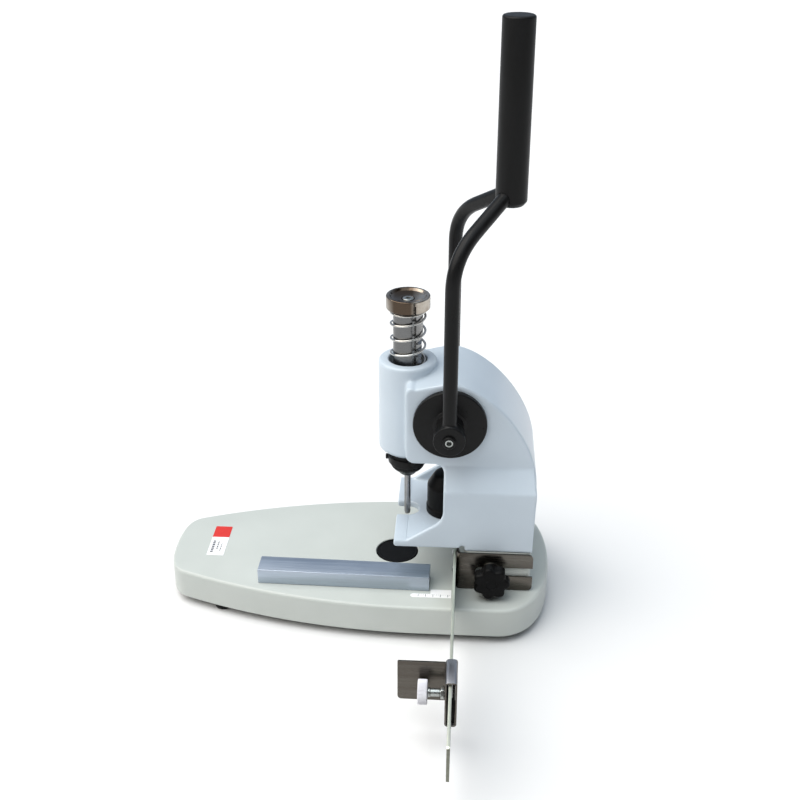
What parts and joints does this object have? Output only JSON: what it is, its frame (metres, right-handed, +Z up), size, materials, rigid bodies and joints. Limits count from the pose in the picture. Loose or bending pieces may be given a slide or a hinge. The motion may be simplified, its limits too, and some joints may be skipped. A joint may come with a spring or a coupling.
{
  "type": "lever paper punch press",
  "caption": "Bench-top hand-lever press with a rack-driven round punch over a turning cutting pad, an adjustable back fence and a sliding side stop.",
  "frame": {"origin": "point on the cutting pad's top face where the punch lands, on the punch axis", "axes": "+Z up along the punch axis, +X from the operator's end towards the column, Y across the base"},
  "size_m": [0.3725, 0.4045, 0.555],
  "materials": {
    "base_paint": "warm off-white stove enamel, satin",
    "frame_paint": "cool white stove enamel, semi-gloss",
    "black_plastic": "black moulded plastic, satin",
    "black_steel": "black powder coat, satin",
    "rubber": "black rubber, matte",
    "nickel": "bright nickel plate",
    "steel": "zinc plated or turned steel",
    "stainless": "brushed stainless sheet",
    "aluminium": "mill finish, drawn along its length",
    "bronze": "turned bronze",
    "white_nylon": "white nylon, knurled",
    "label": "printed vinyl label"
  },
  "bodies": {
    "base": {"base_plate": "base_paint", "foot_front_left": "rubber", "foot_rear_left": "rubber", "foot_front_right": "rubber", "foot_rear_right": "rubber", "foot_screw_front_left": "steel", "foot_screw_rear_left": "steel", "foot_screw_front_right": "steel", "foot_screw_rear_right": "steel", "column": "base_paint", "frame_bolt_1": "steel", "frame_bolt_2": "steel", "maker_label": "label", "scale_label": "label", "frame_casting": "frame_paint", "throat_guard": "black_plastic", "guide_key": "steel", "spring_seat": "steel", "shaft_bush_front": "bronze", "shaft_bush_rear": "bronze", "clamp_stud": "steel"},
    "cutting_pad": {"cutting_pad": "black_plastic"},
    "lever": {"cross_shaft": "steel", "pinion": "steel", "pinion_key": "steel", "lever_yoke": "black_steel", "grip": "rubber", "hub_flange_front": "black_steel", "hub_flange_rear": "black_steel", "hub_screw_front": "nickel", "hub_screw_rear": "nickel"},
    "ram": {"ram": "nickel", "ram_cap": "nickel", "cap_screw": "steel", "return_spring": "steel", "chuck_flange": "black_steel"},
    "punch_holder": {"chuck_nut": "black_steel", "punch": "steel"},
    "back_gauge": {"gauge_bracket": "stainless", "fence": "stainless", "fence_rivet_1": "steel", "fence_rivet_2": "steel"},
    "star_knob": {"star_knob": "black_plastic", "clamp_washer": "steel"},
    "side_stop": {"side_stop": "stainless", "stop_nut": "steel"},
    "thumb_screw": {"thumb_screw": "steel", "thumb_screw_head": "white_nylon"},
    "loose_bar": {"aluminium_bar": "aluminium"}
  },
  "joints": [
    {"name": "lever_turn", "type": "hinge", "parent": "base", "child": "lever", "pos_m": [0.0405, 0, 0.169], "axis": [0, -1, 0], "range_deg": [0, 86]},
    {"name": "ram_slide", "type": "slide", "parent": "base", "child": "ram", "axis": [0, 0, -1], "range_m": [0, 0.045], "stiffness_N_per_m": 1500, "springref_m": -0.02, "deforming": ["return_spring"]},
    {"name": "chuck_turn", "type": "hinge", "parent": "ram", "child": "punch_holder", "pos_m": [0, 0, 0.1], "axis": [0, 0, 1], "range_deg": [0, 360]},
    {"name": "pad_turn", "type": "hinge", "parent": "base", "child": "cutting_pad", "pos_m": [-0.01, 0, 0], "axis": [0, 0, 1], "continuous": true},
    {"name": "gauge_slide", "type": "slide", "parent": "base", "child": "back_gauge", "axis": [1, 0, 0], "range_m": [-0.02, 0.003]},
    {"name": "star_knob_turn", "type": "hinge", "parent": "base", "child": "star_knob", "pos_m": [0.0825, -0.07, 0.0205], "axis": [0, -1, 0], "range_deg": [0, 360]},
    {"name": "side_stop_slide", "type": "slide", "parent": "back_gauge", "child": "side_stop", "axis": [0, 1, 0], "range_m": [-0.055, 0.108]},
    {"name": "thumb_screw_turn", "type": "hinge", "parent": "side_stop", "child": "thumb_screw", "pos_m": [0.03, -0.226, 0.016], "axis": [-1, 0, 0], "range_deg": [0, 360]},
    {"name": "bar_slide", "type": "slide", "parent": "base", "child": "loose_bar", "axis": [-1, 0, 0], "range_m": [0, 0.08]}
  ],
  "couplings": [
    {"joint": "ram_slide", "follows": "lever_turn", "m_per_rad": 0.03}
  ]
}
